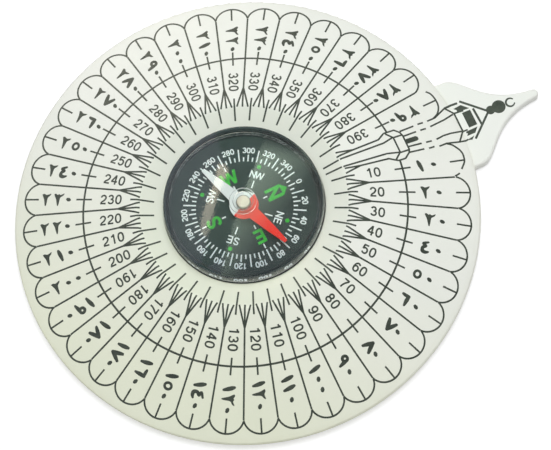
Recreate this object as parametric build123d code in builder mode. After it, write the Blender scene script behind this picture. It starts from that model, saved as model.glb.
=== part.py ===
from build123d import *
import os
from math import cos, radians, sin

# Qibla compass: a shallow conical plate with a flat pointer on its rim, and a round needle capsule
# pressed into a cup in its middle. Millimetres, +Z up. The origin is on the plate's axis, in the
# plane that the compass rests on, and +X runs along the pointer.

# Plate: a cone that falls from a ridge to the rim, with a shallow dish inside the ridge
disc_radius = 50.0
plate_wall = 2.0
cone_rise = 6.6
ridge_round = 1.5
dish_width = 5.6
dish_drop = 1.25
dish_lip_round = 0.3
rim_lean = 0.45
rim_round = 0.5
foot_width = 1.4

# Pointer: a flat ogee tab that lies level with the rim
pointer_length = 18.55
pointer_half_width = 10.37
pointer_lap = 5.0
shoulder_overhang = 0.6
shoulder_pull = 4.4
flank_pull = 11.6
tip_radius = 1.05
tip_taper = 4.5

# Cup under the plate that holds the capsule
cup_floor = 1.5
cup_wall = 1.6
capsule_fit = 0.1

# Capsule case: a cup with a shelf for the dial, a post for the pivot, and a collar round a seat for the lens
capsule_radius = 17.0
case_floor = 1.5
case_wall = 1.2
case_bevel = 0.4
shelf_height = 1.9
shelf_width = 2.0
post_radius = 3.0
seat_over_dial = 0.9
collar_over_dial = 2.4
collar_wall = 0.36

# Dial
dial_thickness = 0.5
dial_fit = 0.1
dial_hole_fit = 0.15

# Pivot pin: a shank, a slender neck and a conical point
pin_radius = 0.6
pin_fit = 0.02
pin_socket_floor = 0.7
pin_shoulder_drop = 0.5
pin_neck_radius = 0.35
pin_point_length = 0.35
pin_point_radius = 0.06

# Needle: two equal arms on a round middle, at rest in the direction the photograph shows
needle_turn = -65.3
needle_lift = 1.3
needle_thickness = 0.3
needle_tip_gap = 4.15
needle_disc_radius = 3.0
needle_root_width = 2.55
needle_mid_width = 1.8
needle_tip_width = 0.75

# Cap: the bearing that rides on the point, with its stem in the hub
cap_head = 0.45
cap_round = 0.2
cap_brim = 0.39
cap_stem = 0.5
cap_stem_wall = 0.52
cap_crown = 0.35
pivot_clearance = 0.08
pivot_gap = 0.06

# Hub: a tall metal bush riveted through the blade
hub_wall = 0.45
hub_rise = 1.7
hub_shoulder = 0.1
hub_lip = 0.2
hub_lip_width = 0.3
hub_fit = 0.02

# Lens: a domed clear cover on a skirt that stands inside the collar, with a ring boss over the needle's cap
lens_dome = 1.78
lens_edge_wall = 0.93
lens_round_width = 0.39
lens_round_height = 1.55
lens_skirt_wall = 0.35
lens_bevel_width = 1.07
lens_bevel_height = 0.99
lens_bevel_rise = 0.7
lens_fit = 0.05
lens_cap_gap = 0.25
boss_wall = 0.85
boss_drop = 0.25
boss_clearance = 0.53

# Heights above the resting plane
ridge_top = plate_wall + cone_rise
dish_edge = ridge_top - dish_drop
case_base = cup_floor
dial_base = case_base + case_floor + shelf_height
dial_face = dial_base + dial_thickness
lens_seat = dial_face + seat_over_dial
collar_top = dial_face + collar_over_dial
blade_base = dial_face + needle_lift
blade_top = blade_base + needle_thickness
hub_base = blade_base - hub_lip
hub_top = blade_top + hub_rise
cap_base = hub_top - cap_stem
cap_top = hub_top + cap_head
cup_apex = cap_top - cap_crown
pin_base = case_base + pin_socket_floor
pin_shoulder = hub_base - pin_shoulder_drop
pin_tip = cup_apex - pivot_gap
lens_underside = cap_top + lens_cap_gap
lens_edge = lens_underside + lens_edge_wall
lens_bevel = lens_seat + lens_bevel_rise

# Radii, from the pivot outwards
pivot_bore = pin_neck_radius + pivot_clearance
cap_stem_radius = pivot_bore + cap_stem_wall
cap_radius = cap_stem_radius + cap_brim
hub_bore = cap_stem_radius + hub_fit
hub_barrel = hub_bore + hub_wall
hub_radius = hub_barrel + hub_shoulder
needle_bore = hub_barrel + hub_fit
boss_bore = hub_radius + boss_clearance
boss_radius = boss_bore + boss_wall
pin_socket = pin_radius + pin_fit
dial_hole = pin_radius + dial_hole_fit
case_bore = capsule_radius - case_wall
shelf_bore = case_bore - shelf_width
dial_radius = case_bore - dial_fit
collar_bore = capsule_radius - collar_wall
lens_skirt = collar_bore - lens_fit
lens_skirt_bore = lens_skirt - lens_skirt_wall
lens_bore = lens_skirt_bore - lens_bevel_width
lens_crown = capsule_radius - lens_round_width
lens_curve = (lens_crown**2 + lens_dome**2) / (2 * lens_dome)
needle_reach = case_bore - needle_tip_gap
needle_middle = (needle_disc_radius + needle_reach) / 2
cup_radius = capsule_radius + capsule_fit
cup_outer = cup_radius + cup_wall
ridge_radius = cup_radius + dish_width
foot_inner = disc_radius - rim_lean - foot_width

# Slopes of the plate, and the pointer's places along X
cone_slope = cone_rise / (disc_radius - ridge_radius)
dish_slope = dish_drop / dish_width
pointer_root = disc_radius - pointer_lap
shoulder_x = disc_radius + shoulder_overhang
tip_centre = Vector(disc_radius + pointer_length - tip_radius, 0)
tip_side = tip_centre + Vector(sin(radians(tip_taper)), cos(radians(tip_taper))) * tip_radius
tip_handle = tip_side + Vector(-cos(radians(tip_taper)), sin(radians(tip_taper))) * flank_pull


# Base plate: the pointer first, then the turned plate with its cup
with BuildPart() as base_plate:
    with BuildSketch():
        with BuildLine():
            Polyline((pointer_root, 0), (pointer_root, pointer_half_width), (shoulder_x, pointer_half_width))
            Bezier(
                (shoulder_x, pointer_half_width),
                (shoulder_x + shoulder_pull, pointer_half_width),
                tip_handle,
                tip_side,
            )
            CenterArc(tip_centre, tip_radius, 0, 90 - tip_taper)
            mirror(about=Plane.XZ)
        make_face()
    extrude(amount=plate_wall)
    fillet(base_plate.faces().sort_by(Axis.Z)[-1].edges(), rim_round)
    with BuildSketch(Plane.XZ) as plate_section:
        with BuildLine():
            Polyline(
                (0, 0),
                (cup_outer, 0),
                (cup_outer, dish_edge + dish_slope * (cup_outer - cup_radius) - plate_wall),
                (ridge_radius, ridge_top - plate_wall),
                (foot_inner, cone_slope * (disc_radius - foot_inner)),
                (foot_inner, 0),
                (disc_radius - rim_lean, 0),
                (disc_radius, plate_wall),
                (ridge_radius, ridge_top),
                (cup_radius, dish_edge),
                (cup_radius, cup_floor),
                (0, cup_floor),
                close=True,
            )
        make_face()
        fillet(plate_section.vertices().sort_by_distance((disc_radius, plate_wall))[0], rim_round)
        fillet(plate_section.vertices().sort_by_distance((ridge_radius, ridge_top))[0], ridge_round)
        fillet(plate_section.vertices().sort_by_distance((cup_radius, dish_edge))[0], dish_lip_round)
    revolve(axis=Axis.Z)
base_plate.part.label = "base_plate"


# Capsule case: a turned cup, with the pivot's socket in its post
with BuildPart() as capsule_case:
    with BuildSketch(Plane.XZ) as case_section:
        with BuildLine():
            Polyline(
                (0, case_base),
                (capsule_radius, case_base),
                (capsule_radius, collar_top),
                (collar_bore, collar_top),
                (collar_bore, lens_seat - lens_fit),
                (case_bore, lens_seat - lens_fit),
                (case_bore, dial_base),
                (shelf_bore, dial_base),
                (shelf_bore, case_base + case_floor),
                (post_radius, case_base + case_floor),
                (post_radius, dial_base),
                (pin_socket, dial_base),
                (pin_socket, pin_base),
                (0, pin_base),
                close=True,
            )
        make_face()
        chamfer(case_section.vertices().sort_by_distance((capsule_radius, case_base))[0], case_bevel)
    revolve(axis=Axis.Z)
capsule_case.part.label = "capsule_case"


# Dial disc: a thin ring that lies on the shelf and the post
with BuildPart() as dial_disc:
    with BuildSketch(Plane.XY.offset(dial_base)):
        Circle(dial_radius)
        Circle(dial_hole, mode=Mode.SUBTRACT)
    extrude(amount=dial_thickness)
dial_disc.part.label = "dial_disc"


# Lens: the dome with its rounded edge, the skirt in the collar, and a ring boss over the needle's cap
with BuildPart() as lens:
    with BuildSketch(Plane.XZ):
        with BuildLine():
            RadiusArc((0, lens_edge + lens_dome), (lens_crown, lens_edge), lens_curve)
            EllipticalCenterArc(
                (lens_crown, lens_edge - lens_round_height), lens_round_width, lens_round_height, arc_size=90
            )
            Polyline(
                (capsule_radius, lens_edge - lens_round_height),
                (capsule_radius, collar_top + lens_fit),
                (lens_skirt, collar_top + lens_fit),
                (lens_skirt, lens_seat),
                (lens_skirt_bore, lens_seat),
                (lens_skirt_bore, lens_bevel),
                (lens_bore, lens_bevel + lens_bevel_height),
                (lens_bore, lens_underside),
                (boss_radius, lens_underside),
                (boss_radius, lens_underside - boss_drop),
                (boss_bore, lens_underside - boss_drop),
                (boss_bore, lens_underside),
                (0, lens_underside),
                (0, lens_edge + lens_dome),
            )
        make_face()
    revolve(axis=Axis.Z)
lens.part.label = "lens"


# Pivot pin: the shank stands in the post, the neck and the point reach into the cap
with BuildPart() as pivot_pin:
    with BuildSketch(Plane.XZ):
        with BuildLine():
            Polyline(
                (0, pin_base),
                (pin_radius, pin_base),
                (pin_radius, pin_shoulder - (pin_radius - pin_neck_radius)),
                (pin_neck_radius, pin_shoulder),
                (pin_neck_radius, pin_tip - pin_point_length),
                (pin_point_radius, pin_tip),
                (0, pin_tip),
                close=True,
            )
        make_face()
    revolve(axis=Axis.Z)
pivot_pin.part.label = "pivot_pin"


# Compass needle: two equal tapering arms on a round middle, bored for the hub
with BuildPart() as compass_needle:
    with BuildSketch(Plane.XY.offset(blade_base).rotated((0, 0, needle_turn))):
        with BuildLine():
            Polyline(
                (0, needle_root_width / 2),
                (needle_disc_radius, needle_root_width / 2),
                (needle_middle, needle_mid_width / 2),
                (needle_reach, needle_tip_width / 2),
                (needle_reach, 0),
            )
            mirror(about=Plane.XZ)
            mirror(about=Plane.YZ)
        make_face()
        Circle(needle_disc_radius)
        Circle(needle_bore, mode=Mode.SUBTRACT)
    extrude(amount=needle_thickness)
compass_needle.part.label = "compass_needle"


# Needle hub: a bush above the blade, a barrel through it and a riveted lip below
with BuildPart() as needle_hub:
    with BuildSketch(Plane.XZ):
        with BuildLine():
            Polyline(
                (hub_bore, hub_base),
                (hub_barrel + hub_lip_width, hub_base),
                (hub_barrel + hub_lip_width, blade_base),
                (hub_barrel, blade_base),
                (hub_barrel, blade_top),
                (hub_radius, blade_top),
                (hub_radius, hub_top),
                (hub_bore, hub_top),
                close=True,
            )
        make_face()
    revolve(axis=Axis.Z)
needle_hub.part.label = "needle_hub"


# Needle cap: a round head on a stem, bored from below to a conical cup for the point
with BuildPart() as needle_cap:
    with BuildSketch(Plane.XZ) as cap_section:
        with BuildLine():
            Polyline(
                (pivot_bore, cap_base),
                (cap_stem_radius, cap_base),
                (cap_stem_radius, hub_top),
                (cap_radius, hub_top),
                (cap_radius, cap_top),
                (0, cap_top),
                (0, cup_apex),
                (pivot_bore, cup_apex - pin_point_length),
                close=True,
            )
        make_face()
        fillet(cap_section.vertices().sort_by_distance((cap_radius, cap_top))[0], cap_round)
    revolve(axis=Axis.Z)
needle_cap.part.label = "needle_cap"


os.makedirs("parts", exist_ok=True)
export_step(base_plate.part, "parts/base_plate.step")
export_step(capsule_case.part, "parts/capsule_case.step")
export_step(dial_disc.part, "parts/dial_disc.step")
export_step(lens.part, "parts/lens.step")
export_step(pivot_pin.part, "parts/pivot_pin.step")
export_step(compass_needle.part, "parts/compass_needle.step")
export_step(needle_hub.part, "parts/needle_hub.step")
export_step(needle_cap.part, "parts/needle_cap.step")
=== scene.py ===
import math

import bmesh
import bpy
from mathutils import Matrix, Vector
from mathutils.bvhtree import BVHTree


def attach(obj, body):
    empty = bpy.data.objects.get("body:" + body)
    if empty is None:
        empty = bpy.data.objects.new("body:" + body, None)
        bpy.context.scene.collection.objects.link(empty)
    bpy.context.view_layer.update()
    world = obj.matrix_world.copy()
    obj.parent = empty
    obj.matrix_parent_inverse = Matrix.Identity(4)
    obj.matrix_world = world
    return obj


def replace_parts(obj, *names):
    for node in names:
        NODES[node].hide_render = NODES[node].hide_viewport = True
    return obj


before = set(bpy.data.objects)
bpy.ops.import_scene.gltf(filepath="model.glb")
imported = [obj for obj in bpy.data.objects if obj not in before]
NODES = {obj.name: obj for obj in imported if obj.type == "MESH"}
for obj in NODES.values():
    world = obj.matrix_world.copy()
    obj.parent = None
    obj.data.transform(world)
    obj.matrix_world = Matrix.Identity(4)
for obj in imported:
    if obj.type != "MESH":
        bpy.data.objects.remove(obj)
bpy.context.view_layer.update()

MM = 0.001

# Sizes of the plate's print, in millimetres from the needle's axis
PETALS = 39
PETAL_PITCH = math.radians(9.0)
PRINT_TURN = math.radians(1.8)
PRINT_SHIFT = 0.947
LINE, CIRCLE_LINE, HEAVY_LINE = 0.37, 0.41, 0.48
TIP_CENTRE, TIP_HIGH, TIP_WIDE, TIP_SPAN = 44.5, 3.37, 3.6, (10, 170)
TIP_TICK = (47.87, 44.8)
MID_CIRCLE, MID_CIRCLE_SPAN = 34.44, (5.6, 354.1)
MID_TICK = (36.2, 32.7)
ARM_OUTER, FORK_APEX, FORK_END, FORK_SPREAD = 45.1, 26.8, 21.98, 1.18
LONG_TICK = (24.1, 19.05)

# Sizes of the dial's print as the dome shows them, in millimetres from the needle's axis
DIAL_NORTH = math.radians(3.6)
DOME_SHARE = 0.965
MARK_INNER, MARK_SHORT, MARK_MEDIUM, MARK_LONG = 10.35, 11.3, 11.9, 13.1
MARK_LINE = 0.3
CARDINAL_DASH, CORNER_DASH, OUTER_DASH = (4.4, 5.3), (4.5, 6.2), (9.0, 10.0)
ARROW_BASE, ARROW_TIP, ARROW_HALF = 8.6, 9.95, 1.4
DOT_AT, DOT_RADIUS = 9.5, 0.45

# The dial's letters, whose weight and pitch are shares of their height
NUMERAL_RADIUS, NUMERAL_TALL, NUMERAL_WEIGHT, NUMERAL_PITCH = 12.85, 1.27, 0.2, 0.72
CAPITALS = ((0, "N", 6.9, 3.4), (90, "E", 7.2, 3.0), (180, "S", 7.2, 3.1), (270, "W", 7.2, 3.1))
CAPITAL_WEIGHT, CAPITAL_PITCH = 0.2, 1.0
CORNERS = ((45, "NE"), (135, "SE"), (225, "SW"), (315, "NW"))
CORNER_RADIUS, CORNER_TALL, CORNER_WEIGHT, CORNER_PITCH = 7.57, 1.7, 0.16, 0.85

# Ink stands proud of what it is printed on, reaches into it, and bends in finer steps over the ridge
INK_PROUD, INK_SUNK, INK_STEP, RIDGE_STEP = 0.02, 0.05, 0.6, 0.1
INK_LEVELS, INK_LEVEL = 7, 0.002

# How far a sharp bend in ink may run out, and the angles of the sections that round off an end
MITRE_LEAST, CAP_TURNS = 0.45, (78, 52, 26)

# The needle's direction at rest, and how ragged and how soft the line between its two paints is
NEEDLE_TURN = math.radians(-65.3)
PAINT_RAGGED, PAINT_SOFT = 0.12, 0.06

# The side of the dial towards which the dial and its white ink are painted darker, as painted shade, and
# the distances over which that sets in
SHADED_SIDE, SHADED_SPAN = (-0.41, -0.91, 0), (4.0, 13.0)

# The side of the plate that is tinted yellower, the distances over which that sets in, and both tints
YELLOWER_SIDE, YELLOWER_SPAN = (-0.75, -0.66, 0), (-2.0, 40.0)
BLUER_TINT, YELLOWER_TINT = (1.012, 1.008, 1.045, 1), (0.975, 0.985, 0.89, 1)

# Zones of the plate's plastic, each as the two distances from the axis between which it sets in; the
# pointer and the dish are painted a shade darker, as painted shade
POINTER_SHADE_ZONE, DISH_SHADE_ZONE, CUP_ZONE = (47.0, 54.0), (23.2, 21.5), (18.2, 17.1)
RIM_START, RIM_END = (48.4, 49.9), (50.1, 49.95)

# The levels of noise between which it is spread out
CLOUD_SPREAD, MOTTLE_SPREAD = (0.3, 0.7), (0.35, 0.65)


# Colours
def srgb(red, green, blue):
    def linear(value):
        value /= 255
        return value / 12.92 if value <= 0.04045 else ((value + 0.055) / 1.055) ** 2.4
    return (linear(red), linear(green), linear(blue), 1.0)


def darkened(colour, shares):
    return (*(part * share for part, share in zip(colour, shares)), 1)


# Material building blocks
class Paint:
    """A node material round one Principled shader, in the object's own coordinates."""

    def __init__(self, name):
        self.material = bpy.data.materials.new(name)
        self.material.use_nodes = True
        self.nodes = self.material.node_tree.nodes
        self.links = self.material.node_tree.links
        self.shader = self.nodes["Principled BSDF"]
        self.place = self.nodes.new("ShaderNodeTexCoord").outputs["Object"]

    def node(self, kind, inputs=(), **settings):
        made = self.nodes.new("ShaderNode" + kind)
        for key, value in settings.items():
            setattr(made, key, value)
        for key, value in dict(inputs).items():
            self.feed(made.inputs[key], value)
        return made

    def feed(self, socket, value):
        if isinstance(value, bpy.types.NodeSocket):
            self.links.new(value, socket)
        else:
            socket.default_value = value

    def set(self, **values):
        for key, value in values.items():
            self.feed(self.shader.inputs[key.replace("_", " ")], value)

    def noise(self, per_mm, detail=3.0, rough=0.55):
        inputs = {"Vector": self.place, "Scale": per_mm / MM, "Detail": detail, "Roughness": rough}
        return self.node("TexNoise", inputs).outputs["Fac"]

    def cloud(self, per_mm, low=0.0, high=1.0, detail=3.0):
        """Soft noise, spread between low and high."""
        return self.span(self.noise(per_mm, detail), *CLOUD_SPREAD, low, high)

    def span(self, value, low, high, to_low=0.0, to_high=1.0):
        inputs = {"Value": value, "From Min": low, "From Max": high,
                  "To Min": to_low, "To Max": to_high}
        return self.node("MapRange", inputs).outputs["Result"]

    def mix(self, share, first, second, blend="MIX"):
        made = self.node("Mix", data_type="RGBA", blend_type=blend)
        sockets = [s for s in made.inputs if s.enabled]
        for socket, value in zip(sockets, (share, first, second)):
            self.feed(socket, value)
        return next(s for s in made.outputs if s.enabled)

    def math(self, operation, *values):
        made = self.node("Math", operation=operation)
        for socket, value in zip(made.inputs, values):
            self.feed(socket, value)
        return made.outputs["Value"]

    def radius(self):
        """Distance from the needle's axis, in millimetres."""
        flat = self.node("VectorMath", {0: self.place, 1: (1 / MM, 1 / MM, 0)}, operation="MULTIPLY")
        return self.node("VectorMath", {0: flat.outputs[0]}, operation="LENGTH").outputs["Value"]

    def along(self, direction):
        """Distance along a direction, in millimetres."""
        scaled = tuple(part / MM for part in direction)
        made = self.node("VectorMath", {0: self.place, 1: scaled}, operation="DOT_PRODUCT")
        return made.outputs["Value"]

    def bump(self, height, depth_mm):
        made = self.node("Bump", {"Height": height, "Strength": 1.0, "Distance": depth_mm * MM})
        self.set(Normal=made.outputs["Normal"])


def mottled(name, colour, other, per_mm, rough, bump_mm=0.0, bump_per_mm=6.0, painted_shade=None, **values):
    """A surface that varies softly between two close tones.

    Where painted_shade gives shares of red, green and blue, it darkens by them towards the shaded side:
    painted shade.
    """
    paint = Paint(name)
    mottle = paint.span(paint.noise(per_mm), *MOTTLE_SPREAD)
    tone = paint.mix(mottle, colour, other)
    # Painted shade: the tone darkens towards one side, where shade falls.
    if painted_shade:
        share = paint.span(paint.along(SHADED_SIDE), *SHADED_SPAN)
        dark = paint.mix(mottle, darkened(colour, painted_shade), darkened(other, painted_shade))
        tone = paint.mix(share, tone, dark)
    paint.set(Base_Color=tone, Roughness=paint.cloud(per_mm * 3, *rough), **values)
    if bump_mm:
        paint.bump(paint.noise(bump_per_mm), bump_mm)
    return paint.material


def ivory_plastic():
    """Moulded ivory plastic, tinted yellower towards one side, painted a shade darker on the pointer and
    in the dish as painted shade, and a little dirty along the rim and round the cup.
    """
    paint = Paint("ivory_plastic")
    body = paint.mix(paint.cloud(0.06, detail=4.0), srgb(233, 235, 222), srgb(237, 238, 226))
    away = paint.radius()
    # The pointer is painted a little darker than the disc, evening out the light it gets: painted shade.
    body = paint.mix(paint.span(away, *POINTER_SHADE_ZONE), body, srgb(233, 234, 224))
    # The dish round the cup is painted darker: painted shade in the recess.
    body = paint.mix(paint.span(away, *DISH_SHADE_ZONE), body, srgb(222, 225, 209))
    rim = paint.math("MULTIPLY", paint.span(away, *RIM_START), paint.span(away, *RIM_END))
    worn = paint.math("MAXIMUM", rim, paint.span(away, *CUP_ZONE))
    patchy = paint.math("MULTIPLY", worn, paint.span(paint.noise(0.5, 5.0), 0.3, 0.75, 0.0, 0.25))
    specks = paint.span(paint.noise(2.2, 2.0), 0.74, 0.8, 0.0, 0.2)
    dirty = paint.mix(paint.math("MAXIMUM", patchy, specks), body, srgb(206, 204, 172))
    yellower = paint.span(paint.along(YELLOWER_SIDE), *YELLOWER_SPAN)
    tint = paint.mix(yellower, BLUER_TINT, YELLOWER_TINT)
    paint.set(Base_Color=paint.mix(1.0, dirty, tint, "MULTIPLY"),
              Roughness=paint.cloud(0.25, 0.28, 0.38, detail=4.0), IOR=1.5)
    fine = paint.math("MULTIPLY", paint.noise(5.0), 0.12)
    paint.bump(paint.math("ADD", paint.noise(0.35), fine), depth_mm=0.015)
    return paint.material


def needle_paint():
    """Steel painted white on one arm and red on the other, with fine brush marks."""
    paint = Paint("needle_paint")
    along = paint.along((math.cos(NEEDLE_TURN), math.sin(NEEDLE_TURN), 0))
    ragged = paint.span(paint.noise(1.2), 0.0, 1.0, -PAINT_RAGGED, PAINT_RAGGED)
    red_side = paint.span(paint.math("ADD", along, ragged), -PAINT_SOFT, PAINT_SOFT)
    cloud = paint.cloud(0.6, detail=4.0)
    white = paint.mix(cloud, srgb(232, 238, 238), srgb(240, 245, 245))
    red = paint.mix(cloud, srgb(246, 26, 4), srgb(253, 40, 10))
    paint.set(Base_Color=paint.mix(red_side, white, red), Roughness=paint.cloud(1.5, 0.3, 0.45),
              Specular_IOR_Level=0.25)
    paint.bump(paint.noise(2.5), depth_mm=0.01)
    return paint.material


def turned_metal(name, colour, other, rough):
    """Bright metal with fine rings from the lathe."""
    paint = Paint(name)
    inputs = {"Vector": paint.place, "Scale": 4.0 / MM, "Distortion": 1.5, "Detail": 2.0}
    rings = paint.node("TexWave", inputs, wave_type="RINGS", rings_direction="Z").outputs["Fac"]
    paint.set(Base_Color=paint.mix(rings, colour, other), Metallic=1.0,
              Roughness=paint.cloud(2.0, *rough))
    paint.bump(rings, depth_mm=0.004)
    return paint.material


def clear_plastic():
    """Polished clear plastic that lets the lamps through, with faint handling marks."""
    paint = Paint("clear_plastic")
    tint = paint.mix(paint.cloud(0.1), (0.97, 0.985, 0.975, 1), (0.985, 0.99, 0.985, 1))
    paint.set(Base_Color=tint, Roughness=paint.cloud(0.12, 0.05, 0.08), IOR=1.49,
              Transmission_Weight=1.0)
    through = paint.node("BsdfTransparent", {"Color": (0.93, 0.95, 0.94, 1)})
    shadow = paint.node("LightPath").outputs["Is Shadow Ray"]
    both = paint.node("MixShader", {0: shadow, 1: paint.shader.outputs[0], 2: through.outputs[0]})
    paint.links.new(both.outputs[0], paint.nodes["Material Output"].inputs["Surface"])
    return paint.material


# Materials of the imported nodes
def dress(name, material):
    NODES[name].data.materials.clear()
    NODES[name].data.materials.append(material)


BLACK_PLASTIC = mottled("black_plastic", srgb(46, 57, 59), srgb(54, 65, 67), per_mm=0.8,
                        rough=(0.3, 0.42), bump_mm=0.006, bump_per_mm=4.0)
# The dial is painted darker towards one side: painted shade.
DIAL_PRINT = mottled("dial_print", srgb(46, 60, 57), srgb(53, 67, 64), per_mm=0.5, rough=(0.55, 0.7),
                     bump_mm=0.005, bump_per_mm=5.0, painted_shade=(0.55, 0.58, 0.72),
                     Specular_IOR_Level=0.25)
CREAM_PLASTIC = mottled("cream_plastic", srgb(233, 221, 200), srgb(241, 230, 210), per_mm=1.2,
                        rough=(0.25, 0.35), bump_mm=0.004, bump_per_mm=5.0)
CLEAR_PLASTIC = clear_plastic()
STEEL = turned_metal("steel", (0.52, 0.52, 0.53, 1), (0.62, 0.62, 0.62, 1), rough=(0.18, 0.3))
# The hub's metal is painted darker than bright metal, standing in for the shade round the cap: painted
# shade.
SHADED_SILVER_METAL = turned_metal("silver_metal", (0.30, 0.30, 0.30, 1), (0.38, 0.38, 0.37, 1),
                            rough=(0.2, 0.3))
dress("base_plate", ivory_plastic())
dress("capsule_case", BLACK_PLASTIC)
dress("dial_disc", DIAL_PRINT)
dress("lens", CLEAR_PLASTIC)
dress("pivot_pin", STEEL)
dress("compass_needle", needle_paint())
dress("needle_hub", SHADED_SILVER_METAL)
dress("needle_cap", CREAM_PLASTIC)

# Inks
PLATE_INK = mottled("plate_ink", srgb(48, 54, 46), srgb(66, 72, 62), per_mm=0.7, rough=(0.4, 0.55))
# The white ink is painted darker towards the same side: painted shade.
WHITE_INK = mottled("white_ink", srgb(232, 245, 244), srgb(246, 252, 250), per_mm=0.9,
                    rough=(0.45, 0.6), painted_shade=(0.66, 0.68, 0.74))
GREEN_INK = mottled("green_ink", srgb(28, 176, 32), srgb(48, 194, 50), per_mm=0.8, rough=(0.45, 0.6))


# Lines as points in the plane
def arc(x, y, wide, high, start, end, parts=14):
    turns = [math.radians(start + (end - start) * i / parts) for i in range(parts + 1)]
    return [(x + wide * math.cos(a), y + high * math.sin(a)) for a in turns]


def loop(x, y, wide, high, square=2.0, parts=28):
    """A closed ring of points. A square above 2 makes its sides straighter."""
    points = []
    for i in range(parts):
        turn = math.tau * i / parts
        c, s = math.cos(turn), math.sin(turn)
        points.append((x + wide * math.copysign(abs(c) ** (2 / square), c),
                       y + high * math.copysign(abs(s) ** (2 / square), s)))
    return points


def smooth(points, parts=6, closed=False):
    """A soft curve through points, which may carry a width as a third number."""
    before, after = ([points[-1]], points[:2]) if closed else (points[:1], points[-1:])
    ends = [*before, *points, *after]
    out = []
    for a, b, c, d in zip(ends, ends[1:], ends[2:], ends[3:]):
        for i in range(parts):
            t = i / parts
            out.append(tuple(
                0.5 * (2 * q + (r - p) * t + (2 * p - 5 * q + 4 * r - s) * t ** 2
                       + (3 * q - p - 3 * r + s) * t ** 3)
                for p, q, r, s in zip(a, b, c, d)))
    return out if closed else out + [points[-1]]


def divided(points, closed, step):
    """The same line with no run longer than step."""
    pairs = list(zip(points, points[1:] + points[:1] if closed else points[1:]))
    out = []
    for a, b in pairs:
        count = max(1, math.ceil(math.dist(a[:2], b[:2]) / step))
        out += [tuple(p + (q - p) * i / count for p, q in zip(a, b)) for i in range(count)]
    return out if closed else out + [points[-1]]


# Lens cover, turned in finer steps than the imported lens, so that gloss runs smoothly over it
LENS_TURNS, DOME_STEPS, EDGE_STEPS, BOSS_STEPS = 192, 40, 24, 6
LENS_DOME, LENS_ROUND = 1.78, (0.39, 1.55)
LENS_UNDERSIDE, LENS_STEP = 9.4, 7.85
LENS_SKIRT, LENS_SKIRT_BORE, LENS_BORE = 16.59, 16.24, 15.17
LENS_BEVEL, LENS_LEAN = (7.0, 7.99), 0.4
BOSS_BORE, BOSS_RADIUS, BOSS_DROP, BOSS_ROUND = 2.05, 2.9, 0.25, 0.2
SHARP_FROM = math.radians(28)


def turned(name, section, material, turns):
    """A closed solid from a section of radii and heights, in millimetres, turned about the axis."""
    mesh = bmesh.new()
    rings = []
    for radius, height in section:
        count = turns if radius else 1
        rings.append([mesh.verts.new((radius * MM * math.cos(math.tau * i / count),
                                      radius * MM * math.sin(math.tau * i / count), height * MM))
                      for i in range(count)])
    for one, two in zip(rings, rings[1:]):
        for i in range(turns):
            around = ((one, i), (one, i + 1), (two, i + 1), (two, i))
            corners = [ring[k % len(ring)] for ring, k in around]
            mesh.faces.new(list(dict.fromkeys(corners)))
    bmesh.ops.recalc_face_normals(mesh, faces=mesh.faces)
    data = bpy.data.meshes.new(name)
    mesh.to_mesh(data)
    mesh.free()
    data.shade_smooth()
    data.set_sharp_from_angle(angle=SHARP_FROM)
    data.materials.append(material)
    piece = bpy.data.objects.new(name, data)
    bpy.context.scene.collection.objects.link(piece)
    return piece


def lens_section():
    """From the crown out over the edge, down the skirt, and back along the underside to the axis.

    The boss is rounded. The inner wall of the rim leans, so that it doesn't show as a bright ring.
    """
    corners = [v.co / MM for v in NODES["lens"].data.vertices]
    radius = max(c.x for c in corners)
    crown, foot = max(c.z for c in corners), min(c.z for c in corners)
    wide, high = LENS_ROUND
    reach = radius - wide
    curve = (reach ** 2 + LENS_DOME ** 2) / (2 * LENS_DOME)
    radii = [reach * i / DOME_STEPS for i in range(DOME_STEPS + 1)]
    dome = [(r, crown - curve + math.sqrt(curve ** 2 - r ** 2)) for r in radii]
    edge = arc(reach, crown - LENS_DOME - high, wide, high, 90, 0, EDGE_STEPS)[1:]
    skirt = [(radius, LENS_STEP), (LENS_SKIRT, LENS_STEP), (LENS_SKIRT, foot), (LENS_SKIRT_BORE, foot),
             (LENS_SKIRT_BORE, LENS_BEVEL[0]), (LENS_BORE, LENS_BEVEL[1]),
             (LENS_BORE + LENS_LEAN, LENS_UNDERSIDE)]
    low = LENS_UNDERSIDE - BOSS_DROP + BOSS_ROUND
    outer = arc(BOSS_RADIUS - BOSS_ROUND, low, BOSS_ROUND, BOSS_ROUND, 0, -90, BOSS_STEPS)
    inner = arc(BOSS_BORE + BOSS_ROUND, low, BOSS_ROUND, BOSS_ROUND, -90, -180, BOSS_STEPS)
    boss = [(BOSS_RADIUS, LENS_UNDERSIDE), *outer, *inner, (BOSS_BORE, LENS_UNDERSIDE)]
    return [*dome, *edge, *skirt, *boss, (0, LENS_UNDERSIDE)]


cover = turned("lens_cover", lens_section(), CLEAR_PLASTIC, LENS_TURNS)
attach(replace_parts(cover, "lens"), "housing")


# Surfaces that carry print
def surface_of(node):
    """A function that gives the height of a node's top at a place, in millimetres."""
    mesh = NODES[node].data
    tree = BVHTree.FromPolygons([v.co for v in mesh.vertices], [p.vertices[:] for p in mesh.polygons])

    def height(x, y):
        hit = tree.ray_cast(Vector((x * MM, y * MM, 1.0)), Vector((0, 0, -1)))[0]
        return hit.z / MM
    return height


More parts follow.
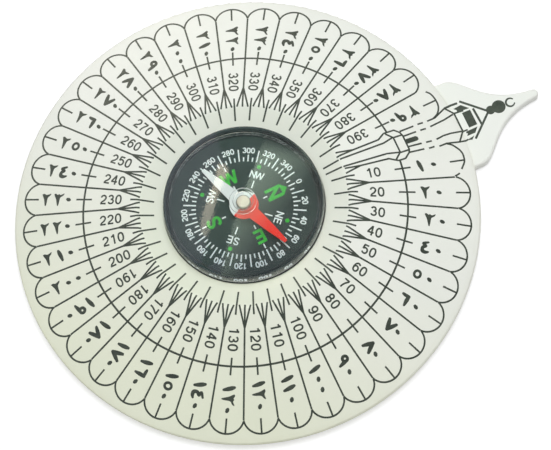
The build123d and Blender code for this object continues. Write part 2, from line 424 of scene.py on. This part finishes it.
class Ink:
    """Print on a surface: thin closed strips and patches that follow it."""

    def __init__(self, name, surface, material, share=1.0):
        self.name, self.surface, self.material, self.share = name, surface, material, share
        self.mesh = bmesh.new()
        self.level = 0

    def corner(self, point):
        x, y = (value * self.share for value in point)
        z = self.surface(x, y)
        top = INK_PROUD + INK_LEVEL * self.level
        return [self.mesh.verts.new((x * MM, y * MM, (z + lift) * MM)) for lift in (top, -INK_SUNK)]

    def next_level(self):
        """Strokes that cross lie at slightly different heights, so that no two faces coincide."""
        self.level = (self.level + 1) % INK_LEVELS

    def line(self, points, width, closed=False, round_ends=False, step=INK_STEP):
        """A strip along points. Where a point has a third number, that is its own width."""
        self.next_level()
        line = divided([tuple(p) if len(p) == 3 else (*p, width) for p in points], closed, step)
        spots = [Vector(p[:2]) for p in line]
        halves = [p[2] / 2 for p in line]
        count = len(spots)
        sides = []
        for i, spot in enumerate(spots):
            before = spots[i - 1] if closed or i else None
            after = spots[(i + 1) % count] if closed or i < count - 1 else None
            into = (spot - before).normalized() if before is not None else None
            out = (after - spot).normalized() if after is not None else into
            into = into if into is not None else out
            across = (into.orthogonal() + out.orthogonal()).normalized()
            reach = halves[i] / max(MITRE_LEAST, across.dot(out.orthogonal()))
            sides.append((spot, across, reach))
        if round_ends:
            sides = self.cap(sides, 0, 1) + sides + self.cap(sides, -1, -2)[::-1]
        rings = [self.corner(s + a * r) + self.corner(s - a * r) for s, a, r in sides]
        pairs = list(zip(rings, rings[1:] + rings[:1] if closed else rings[1:]))
        for one, two in pairs:
            for i, j in ((0, 2), (1, 3), (0, 1), (2, 3)):
                self.mesh.faces.new((one[i], one[j], two[j], two[i]))
        if not closed:
            for end in (rings[0], rings[-1]):
                self.mesh.faces.new((end[0], end[2], end[3], end[1]))

    @staticmethod
    def cap(sides, end, near):
        """The sections of a rounded end, from the tip in."""
        spot, across, reach = sides[end]
        out = (spot - sides[near][0]).normalized()
        return [(spot + out * reach * math.sin(a), across, reach * math.cos(a))
                for a in map(math.radians, CAP_TURNS)]

    def patch(self, outline):
        """A filled shape."""
        self.next_level()
        corners = [self.corner(p) for p in outline]
        self.mesh.faces.new([c[0] for c in corners])
        self.mesh.faces.new([c[1] for c in corners][::-1])
        for one, two in zip(corners, corners[1:] + corners[:1]):
            self.mesh.faces.new((one[0], two[0], two[1], one[1]))

    def text(self, words, origin, right, tall, weight, pitch):
        """Letters in a row, centred on origin, reading along right."""
        up = right.orthogonal()
        for i, letter in enumerate(words):
            start = origin + right * (i - (len(words) - 1) / 2) * pitch * tall
            for points, closed in LETTERS[letter]:
                self.line([start + right * x * tall + up * y * tall for x, y in points],
                          weight * tall, closed)

    def done(self):
        bmesh.ops.recalc_face_normals(self.mesh, faces=self.mesh.faces)
        mesh = bpy.data.meshes.new(self.name)
        self.mesh.to_mesh(mesh)
        self.mesh.free()
        piece = bpy.data.objects.new(self.name, mesh)
        bpy.context.scene.collection.objects.link(piece)
        mesh.materials.append(self.material)
        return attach(piece, "housing")


# Figures and capitals one unit tall, drawn along the middle of their strokes
SIX = [(loop(0.01, -0.155, 0.235, 0.27), True), (arc(0.06, -0.03, 0.295, 0.455, 195, 45), False)]
LETTERS = {
    "0": [(loop(0, 0, 0.25, 0.425, 2.3), True)],
    "1": [([(0.08, -0.5), (0.08, 0.5)], False), ([(-0.19, 0.27), (-0.02, 0.31), (0.06, 0.46)], False)],
    "2": [(smooth(arc(0, 0.185, 0.24, 0.24, 175, -20, 8)
                  + [(0.08, -0.1), (-0.13, -0.24), (-0.24, -0.41)], 3), False),
          ([(-0.29, -0.425), (0.28, -0.425)], False)],
    "3": [(arc(-0.01, 0.215, 0.21, 0.21, 165, -95), False),
          (arc(0, -0.195, 0.25, 0.23, 95, -165), False)],
    "4": [([(0.115, 0.5), (0.115, -0.5)], False), ([(0.1, 0.46), (-0.27, -0.17)], False),
          ([(-0.32, -0.19), (0.3, -0.19)], False)],
    "5": [([(-0.2, 0.425), (0.24, 0.425)], False), ([(-0.165, 0.45), (-0.225, 0.0)], False),
          (arc(0, -0.14, 0.25, 0.285, 148, -155), False)],
    "6": SIX,
    "7": [([(-0.28, 0.425), (0.29, 0.425)], False),
          (smooth([(0.25, 0.4), (0.06, 0.1), (-0.06, -0.2), (-0.1, -0.5)], 4), False)],
    "8": [(loop(0, 0.22, 0.2, 0.205), True), (loop(0, -0.2, 0.245, 0.225), True)],
    "9": [([(-x, -y) for x, y in points], closed) for points, closed in SIX],
    "N": [([(-0.29, -0.5), (-0.29, 0.5)], False), ([(0.29, -0.5), (0.29, 0.5)], False),
          ([(-0.29, 0.42), (0.29, -0.42)], False)],
    "E": [([(-0.26, -0.5), (-0.26, 0.5)], False), ([(-0.26, 0.42), (0.32, 0.42)], False),
          ([(-0.26, 0.02), (0.27, 0.02)], False), ([(-0.26, -0.42), (0.32, -0.42)], False)],
    "S": [(smooth([(0.25, 0.25), (0.18, 0.37), (0, 0.42), (-0.19, 0.37), (-0.24, 0.22), (-0.14, 0.08),
                   (0.02, 0.01), (0.17, -0.07), (0.25, -0.22), (0.19, -0.37), (0, -0.42),
                   (-0.19, -0.38), (-0.27, -0.24)], 4), False)],
    "W": [([(-0.5, 0.5), (-0.26, -0.46)], False), ([(-0.26, -0.46), (0, 0.44)], False),
          ([(0, 0.44), (0.26, -0.46)], False), ([(0.26, -0.46), (0.5, 0.5)], False)],
}

# Eastern figures in millimetres, as pen strokes of points with their own widths
EASTERN = {
    "0": [[(-0.2, 0.08, 0.6), (0.0, 0.0, 0.74), (0.2, -0.08, 0.6)]],
    "1": [[(-0.34, 1.1, 0.5), (-0.18, 0.6, 0.74), (0.06, -0.2, 0.74), (0.28, -1.1, 0.46)]],
    "4": [[(0.3, 1.2, 0.4), (-0.6, 0.72, 0.56), (-0.1, 0.3, 0.62), (-0.6, -0.2, 0.62),
           (-0.5, -0.9, 0.72), (0.1, -1.05, 0.66), (0.68, -0.85, 0.4)]],
    "6": [[(-0.85, 0.95, 0.5), (-0.3, 0.92, 0.64), (0.45, 0.98, 0.6)],
          [(0.42, 0.98, 0.62), (0.44, 0.0, 0.74), (0.5, -1.05, 0.44)]],
    "7": [[(-0.85, 0.95, 0.56), (-0.42, 0.05, 0.76), (0.04, -1.05, 0.62)],
          [(0.04, -1.05, 0.62), (0.48, 0.0, 0.74), (0.92, 0.95, 0.52)]],
    "8": [[(-0.85, -0.95, 0.52), (-0.45, 0.0, 0.74), (0.0, 1.05, 0.62)],
          [(0.0, 1.05, 0.62), (0.46, 0.0, 0.76), (0.95, -0.95, 0.56)]],
    "9": [[(0.28, 0.7, 0.56), (0.42, -0.2, 0.7), (0.66, -1.1, 0.44)]],
}
EASTERN_RINGS = {"5": (0.0, 0.0, 0.66, 0.74, 0.54), "9": (-0.22, 0.55, 0.54, 0.54, 0.62)}
EASTERN_SHAPES = {
    "2": [(-0.92, 1.12), (-0.5, 1.22), (-0.05, 1.02), (0.35, 1.08), (0.92, 1.26), (0.74, 0.84),
          (0.36, 0.5), (0.24, 0.0), (0.2, -0.7), (0.1, -1.3), (-0.12, -1.3), (-0.3, -0.6),
          (-0.48, 0.1), (-0.74, 0.66)],
    "3": [(-1.0, 1.12), (-0.66, 1.26), (-0.3, 1.02), (0.02, 1.16), (0.34, 0.98), (0.74, 1.14),
          (1.14, 1.3), (0.9, 0.82), (0.4, 0.48), (0.26, 0.0), (0.2, -0.7), (0.1, -1.26),
          (-0.12, -1.26), (-0.32, -0.6), (-0.52, 0.1), (-0.82, 0.66)],
}

# Where each eastern number's figures stand, measured along its reading direction
EASTERN_START = (35.8, 45.0)
EASTERN_WEIGHT, EASTERN_SPREAD = 1.14, 1.07
EASTERN_PLACES = [
    (2, (2.5, 5.4)), (6, (3.2, 5.9)), (8, (3.85, 5.9)), (9, (3.2, 5.7)), (10, (2.1, 4.2, 6.4)),
    (11, (2.2, 4.1, 6.4)), (12, (2.3, 4.3, 6.7)), (15, (3.1, 5.2, 7.4)), (17, (2.9, 5.1, 7.3)),
    (18, (2.5, 5.0, 7.1)), (19, (2.3, 4.7, 7.3)), (20, (2.0, 4.7, 7.0)), (24, (1.9, 4.7, 7.0)),
    (25, (2.3, 5.1, 7.4)), (27, (2.45, 5.4, 7.6)), (28, (2.8, 5.4, 7.9)), (29, (2.45, 5.4, 7.6)),
    (30, (2.9, 5.4, 7.7)), (34, (2.95, 5.7, 7.9)), (35, (2.6, 5.3, 7.9)), (36, (2.7, 5.7, 7.8)),
    (38, (3.0, 5.7, 8.0)), (39, (2.8, 5.9, 7.9)),
]
WESTERN_RADII = ((9, 28.1), (19, 29.0), (39, 28.4))
WESTERN_TALL, WESTERN_WEIGHT, WESTERN_PITCH = 2.14, 0.165, 0.78
INWARD_FROM = 20

# The tips of the petals beside the tower, in millimetres from the needle's axis
END_TIPS = {
    1: [[(45.4, -3.4), (46.3, -4.0), (46.9, -4.8), (47.4, -5.7), (47.6, -6.8), (47.2, -8.4),
         (45.9, -9.8)], [(43.9, -10.8), (44.6, -10.7), (45.1, -10.5)]],
    39: [[(46.3, 9.6), (47.1, 8.7), (47.5, 7.1), (47.4, 5.4), (46.5, 3.9), (45.2, 3.1)]],
}


# Print on the plate
class Petal:
    """The straight middle of one petal: points by radius along it and distance across it."""

    def __init__(self, index):
        turn = -PETAL_PITCH * index - PRINT_TURN
        self.out = Vector((math.cos(turn), math.sin(turn)))
        self.across = Vector((-math.sin(turn), math.cos(turn)))

    def at(self, radius, aside=0.0):
        return self.out * radius + self.across * (PRINT_SHIFT + aside)


def first_up_to(table, index):
    """The value of the first row that reaches as far as index."""
    return next(value for last, value in table if index <= last)


plate = surface_of("base_plate")
petals = Ink("print_petals", plate, PLATE_INK)
western = Ink("print_numbers_western", plate, PLATE_INK)
eastern = Ink("print_numbers_eastern", plate, PLATE_INK)

for k in range(1, PETALS + 1):
    petal = Petal(k)
    petals.line([petal.at(r) for r in TIP_TICK], LINE)
    petals.line([petal.at(r) for r in MID_TICK], LINE)
    petals.line([petal.at(r) for r in LONG_TICK], LINE, step=RIDGE_STEP)
    if k in END_TIPS:
        for points in END_TIPS[k]:
            petals.line(smooth(points), LINE)
    else:
        tip = arc(0, 0, TIP_WIDE, TIP_HIGH, *TIP_SPAN, parts=18)
        petals.line([petal.at(TIP_CENTRE + high, aside) for aside, high in tip], LINE)

    inward = k >= INWARD_FROM
    reading = -petal.out if inward else petal.out
    western.text(str(10 * k), petal.at(first_up_to(WESTERN_RADII, k)), reading,
                 WESTERN_TALL, WESTERN_WEIGHT, WESTERN_PITCH)
    up = reading.orthogonal()
    for figure, place in zip(str(10 * k), first_up_to(EASTERN_PLACES, k)):
        spot = petal.at(EASTERN_START[1] - place if inward else EASTERN_START[0] + place)
        for stroke in EASTERN.get(figure, []):
            points = [(*(spot + reading * x + up * y), wide * EASTERN_WEIGHT)
                      for x, y, wide in smooth(stroke)]
            eastern.line(points, LINE, round_ends=True)
        if figure in EASTERN_RINGS:
            x, y, wide, high, width = EASTERN_RINGS[figure]
            points = [spot + reading * a + up * b for a, b in loop(x, y, wide, high, parts=20)]
            eastern.line(points, width, closed=True)
        if figure in EASTERN_SHAPES:
            outline = smooth(EASTERN_SHAPES[figure], 3, closed=True)
            eastern.patch([spot + (reading * x + up * y) * EASTERN_SPREAD for x, y in outline])

for k in range(1, PETALS):
    arm = Petal(k + 0.5)
    petals.line([arm.at(ARM_OUTER), arm.at(FORK_APEX)], LINE)
    for side in (-FORK_SPREAD, 0, FORK_SPREAD):
        petals.line([arm.at(FORK_APEX), arm.at(FORK_END, side)], LINE, step=RIDGE_STEP)
petals.line(arc(0, 0, MID_CIRCLE, MID_CIRCLE, *MID_CIRCLE_SPAN, parts=240), CIRCLE_LINE)
for piece in (petals, western, eastern):
    piece.done()

# The tower drawn on the pointer, in millimetres from the needle's axis
tower = Ink("print_tower", plate, PLATE_INK)
THIN_LINES = [
    [(18.4, 0.6), (22.1, 0.8)], [(22.4, 0.8), (32.6, 1.2), (35.0, 1.8)],
    [(18.4, -0.8), (22.1, -0.9)], [(22.4, -1.0), (32.3, -1.3), (35.0, -1.9)],
    [(22.1, 2.5), (25.9, 1.9), (31.9, 2.3), (33.5, 3.3)], [(21.9, 1.5), (25.9, 1.9)],
    [(22.3, -2.6), (25.9, -2.0), (32.2, -2.5), (33.5, -3.3)], [(22.5, -1.5), (25.9, -2.0)],
    [(33.5, 3.3), (35.9, 3.3), (36.9, 2.4), (37.2, 1.5), (37.2, -1.9), (36.9, -2.6),
     (35.6, -3.6), (34.1, -3.6), (33.5, -3.3)],
    [(33.8, 3.1), (35.1, 1.7), (35.1, -1.9), (33.5, -3.3)],
    [(35.1, 1.7), (37.1, 1.7)], [(35.1, -2.0), (37.1, -2.0)],
    [(37.0, 2.6), (40.3, 2.8)], [(41.3, 2.9), (42.6, 2.9)],
    [(43.6, 2.9), (45.5, 3.1), (48.4, 4.5)],
    [(37.2, 1.3), (40.3, 1.4)], [(41.3, 1.4), (42.6, 1.4)],
    [(43.7, 1.5), (47.2, 2.0), (49.6, 2.6)],
    [(37.2, -1.3), (40.3, -1.5)], [(41.3, -1.6), (42.6, -1.7)],
    [(43.7, -1.7), (45.4, -1.4), (47.2, -1.4), (49.9, -1.8)],
    [(37.0, -2.6), (40.3, -2.9)], [(41.3, -3.1), (42.6, -3.1)],
    [(43.6, -3.4), (45.4, -3.3), (48.2, -3.9), (49.5, -4.1), (50.2, -4.0)],
    [(48.4, 4.5), (49.9, 2.7), (49.9, -1.8), (48.2, -3.9)],
    [(49.9, 2.7), (52.0, 2.5)], [(49.8, -1.9), (51.0, -1.9)],
]
THICK_LINES = [
    [(48.4, 4.5), (49.9, 4.7), (51.5, 4.6)], [(54.1, 2.1), (54.3, -2.0)],
    [(52.1, 4.8), (56.6, 0.4)], [(56.6, -0.1), (51.7, -4.5)],
]
PANELS = [
    [(37.2, 0.5), (39.7, 0.5), (40.1, 0.2), (40.1, -0.4), (39.7, -0.6), (37.2, -0.6)],
    [(50.2, 3.7), (52.0, 3.9), (53.4, 2.5), (50.7, 2.7), (50.7, 3.2)],
    [(51.5, 2.1), (53.4, 2.1), (53.4, -1.6), (51.5, -1.6)],
    [(50.5, -2.2), (53.2, -2.1), (52.2, -3.2), (50.3, -3.2), (50.7, -2.7), (50.4, -2.5)],
    [(49.6, -4.1), (51.7, -3.7), (51.0, -4.4), (50.3, -4.2)],
    loop(57.4, 0.2, 1.0, 1.0), loop(59.3, 0.2, 1.5, 1.5),
]
for points in THIN_LINES:
    tower.line(points, LINE, step=RIDGE_STEP)
for points in THICK_LINES:
    tower.line(points, HEAVY_LINE)
for outline in PANELS:
    tower.patch(outline)
CRESCENT_AT, CRESCENT_RADIUS, CRESCENT_GAP = (62.0, 0.1), 0.94, math.radians(34)
CRESCENT_LINE, CRESCENT_SWELL, CRESCENT_STEPS = 0.28, 0.16, 24
crescent = []
for i in range(CRESCENT_STEPS + 1):
    share = i / CRESCENT_STEPS
    turn = CRESCENT_GAP + (math.tau - 2 * CRESCENT_GAP) * share
    crescent.append((CRESCENT_AT[0] + CRESCENT_RADIUS * math.cos(turn),
                     CRESCENT_AT[1] + CRESCENT_RADIUS * math.sin(turn),
                     CRESCENT_LINE + CRESCENT_SWELL * math.sin(math.pi * share)))
tower.line(crescent, LINE, round_ends=True)
tower.done()


# Print on the dial
dial = surface_of("dial_disc")
marks = Ink("dial_marks", dial, WHITE_INK, DOME_SHARE)
numerals = Ink("dial_numerals", dial, WHITE_INK, DOME_SHARE)
capitals = Ink("dial_capitals", dial, GREEN_INK, DOME_SHARE)
corner_letters = Ink("dial_corner_letters", dial, WHITE_INK, DOME_SHARE)


def bearing(degrees):
    """The unit vector outwards at a compass bearing on the dial."""
    turn = DIAL_NORTH - math.radians(degrees)
    return Vector((math.cos(turn), math.sin(turn)))


def clockwise(out):
    return Vector((out.y, -out.x))


for degrees in range(0, 360, 5):
    out = bearing(degrees)
    reach = MARK_SHORT if degrees % 10 else MARK_MEDIUM if degrees % 20 == 0 else MARK_LONG
    marks.line([out * MARK_INNER, out * reach], MARK_LINE)
    if degrees % 20 == 0:
        numerals.text(str(degrees), out * NUMERAL_RADIUS, clockwise(out),
                      NUMERAL_TALL, NUMERAL_WEIGHT, NUMERAL_PITCH)
for degrees in range(0, 360, 45):
    out = bearing(degrees)
    spans = [CARDINAL_DASH] if degrees % 90 == 0 else [CORNER_DASH]
    if degrees in (90, 180, 270):
        spans.append(OUTER_DASH)
    for near, far in spans:
        marks.line([out * near, out * far], MARK_LINE)
for degrees, letter, middle, tall in CAPITALS:
    out = bearing(degrees)
    capitals.text(letter, out * middle, clockwise(out), tall, CAPITAL_WEIGHT, CAPITAL_PITCH)
north = bearing(0)
arrow_side = clockwise(north) * ARROW_HALF
capitals.patch([north * ARROW_BASE - arrow_side, north * ARROW_BASE + arrow_side, north * ARROW_TIP])
for degrees, letters in CORNERS:
    out = bearing(degrees)
    corner_letters.text(letters, out * CORNER_RADIUS, clockwise(out),
                        CORNER_TALL, CORNER_WEIGHT, CORNER_PITCH)
    dot = loop(0, 0, DOT_RADIUS, DOT_RADIUS, parts=20)
    capitals.patch([out * DOT_AT + Vector(p) for p in dot])
for piece in (marks, numerals, capitals, corner_letters):
    piece.done()


# Camera at the photograph's place
CAMERA_AT = Vector((-19.920, -118.902, 346.916)) * MM
CAMERA_AIM = Vector((4.470, -6.178, 5.803)) * MM
CAMERA_ROLL = math.radians(11.244)
CAMERA_LENS, CAMERA_SENSOR = 111.752, 36.0
CAMERA_CLIP = (0.01, 20.0)
view = bpy.data.cameras.new("camera")
view.lens, view.sensor_width = CAMERA_LENS, CAMERA_SENSOR
view.clip_start, view.clip_end = CAMERA_CLIP
camera = bpy.data.objects.new("camera", view)
facing = (CAMERA_AIM - CAMERA_AT).to_track_quat("-Z", "Y").to_matrix()
rolled = facing @ Matrix.Rotation(-CAMERA_ROLL, 3, "Z")
camera.matrix_world = Matrix.Translation(CAMERA_AT) @ rolled.to_4x4()
bpy.context.scene.collection.objects.link(camera)
bpy.context.scene.camera = camera


# Floor, just under the part, with a glow for the eye that grows between two distances in millimetres
FLOOR_HALF, FLOOR_DROP = 4.0, -0.0002
FLOOR_FADE, FLOOR_LIFT = (150, 700), (0.5, 0.85)

# Key lamp, in metres and watts
KEY_AT, KEY_SIZE, KEY_POWER, KEY_COLOUR = (0.085, 0.09, 0.47), 0.36, 1.40, (0.97, 1.0, 1.04)


def flat_object(name, corners, material):
    mesh = bpy.data.meshes.new(name)
    mesh.from_pydata(corners, [], [range(len(corners))])
    mesh.materials.append(material)
    made = bpy.data.objects.new(name, mesh)
    bpy.context.scene.collection.objects.link(made)
    return made


def floor_material():
    """Pale floor that keeps the shadow, and shows as white to the eye, to metal and to glass."""
    paint = Paint("floor")
    grain = paint.mix(paint.noise(0.02), (0.62, 0.62, 0.62, 1), (0.66, 0.66, 0.66, 1))
    paint.set(Base_Color=grain, Roughness=0.9, Specular_IOR_Level=0.1)
    rays = paint.node("LightPath").outputs
    seen = paint.math("MAXIMUM", rays["Is Camera Ray"],
                      paint.math("MAXIMUM", rays["Is Glossy Ray"], rays["Is Transmission Ray"]))
    lift = paint.span(paint.radius(), *FLOOR_FADE, *FLOOR_LIFT)
    paint.set(Emission_Color=(1, 1, 1, 1), Emission_Strength=paint.math("MULTIPLY", seen, lift))
    return paint.material


def glow(name, near, far, fades):
    """Plain light that fades from near to far, each fade over millimetres along a direction."""
    paint = Paint(name)
    paint.nodes.remove(paint.shader)
    share = 0.0
    for direction, start, end in fades:
        share = paint.math("MAXIMUM", share, paint.span(paint.along(direction), start, end))
    lamp = paint.node("Emission", {"Color": paint.mix(share, (*near, 1), (*far, 1))})
    paint.links.new(lamp.outputs[0], paint.nodes["Material Output"].inputs["Surface"])
    return paint.material


def disc_lamp(name, at, size, power, colour):
    """A round soft lamp that looks at the middle of the part."""
    data = bpy.data.lights.new(name, "AREA")
    data.shape, data.size, data.energy, data.color = "DISK", size, power, colour
    lamp = bpy.data.objects.new(name, data)
    lamp.location = at
    lamp.rotation_mode = "QUATERNION"
    lamp.rotation_quaternion = (-Vector(at)).to_track_quat("-Z", "Y")
    bpy.context.scene.collection.objects.link(lamp)
    return lamp


SQUARE = ((-1, -1), (1, -1), (1, 1), (-1, 1))
floor_corners = [(x * FLOOR_HALF, y * FLOOR_HALF, FLOOR_DROP) for x, y in SQUARE]
flat_object("floor", floor_corners, floor_material())
key = disc_lamp("key", KEY_AT, KEY_SIZE, KEY_POWER, KEY_COLOUR)
key.visible_glossy = key.visible_transmission = False

# Cards that only gloss sees, high above, which draw the streak and the pale side on the lens
CARD_HEIGHT = 400.0
NORTH, NORTH_EAST, SOUTH_EAST = (0, 1, 0), (0.707, 0.707, 0), (0.546, -0.838, 0)
GLARE_EDGE = [(22, 235), (-28, 175), (-97, 79)]
WALL_EDGE = [(190, 420), (153, 311), (105, 239), (47, 169), (-11, 96), (-77, 10), (-130, -60),
             (-150, -150)]
CARDS = [
    ("card_room", 0.0, (0.55, 0.65, 0.80), (0.75, 0.85, 1.0), [(NORTH, 0, 300)],
     [(-300, -150), (360, -150), (360, 480), (-300, 480)]),
    ("card_gap", 1.0, (0.08, 0.30, 0.22), (0.10, 0.28, 0.24), [(NORTH, 0, 300)],
     [(20, 300), *GLARE_EDGE, (-150, 10), (-77, 10), (47, 160), (153, 311), (190, 420),
      (40, 420)]),
    ("card_wall", 2.0, (4.1, 5.3, 4.1), (0.15, 0.2, 0.2),
     [(SOUTH_EAST, -140, 5), (NORTH_EAST, 250, 335)], [*WALL_EDGE, (360, -150), (360, 420)]),
    ("card_window", 3.0, (5.0, 4.8, 4.0), (8.0, 7.2, 5.6), [(NORTH, 80, 200)],
     [(4, 274), (20, 266), *GLARE_EDGE, (-107, 98), (-97, 126), (-16, 232)]),
]
cards = [flat_object(name, [(x * MM, y * MM, (CARD_HEIGHT - drop) * MM) for x, y in outline],
                     glow(name, near, far, fades))
         for name, drop, near, far, fades, outline in CARDS]
for card in cards:
    card.visible_transmission = False

# A low card behind, which draws bright lines on rounded edges of metal and clear plastic
LOW_CARD_BACK = 420
LOW_CARD = [(-180, 70), (180, 70), (180, 240), (-180, 240)]
LOW_CARD_GLOW = (6.5, 5.9, 5.0), (6.0, 5.5, 4.6), [(NORTH_EAST, 170, 430)]
cards.append(flat_object("card_low", [(x * MM, LOW_CARD_BACK * MM, z * MM) for x, z in LOW_CARD],
                         glow("card_low", *LOW_CARD_GLOW)))
for card in cards:
    card.visible_camera = card.visible_diffuse = card.visible_shadow = card.visible_volume_scatter = False

# Soft light from all sides, which the eye sees as white
WORLD_COLOUR, WORLD_STRENGTH, EYE_STRENGTH = (1.0, 0.995, 0.965, 1), 0.465, 1.04
world = bpy.data.worlds.new("world")
world.use_nodes = True
sky = world.node_tree.nodes["Background"]
sky.inputs["Color"].default_value = WORLD_COLOUR
eye = world.node_tree.nodes.new("ShaderNodeLightPath").outputs["Is Camera Ray"]
level = world.node_tree.nodes.new("ShaderNodeMapRange")
level.inputs["To Min"].default_value = WORLD_STRENGTH
level.inputs["To Max"].default_value = EYE_STRENGTH
world.node_tree.links.new(eye, level.inputs["Value"])
world.node_tree.links.new(level.outputs["Result"], sky.inputs["Strength"])
bpy.context.scene.world = world

bpy.context.scene.view_settings.view_transform = "Standard"
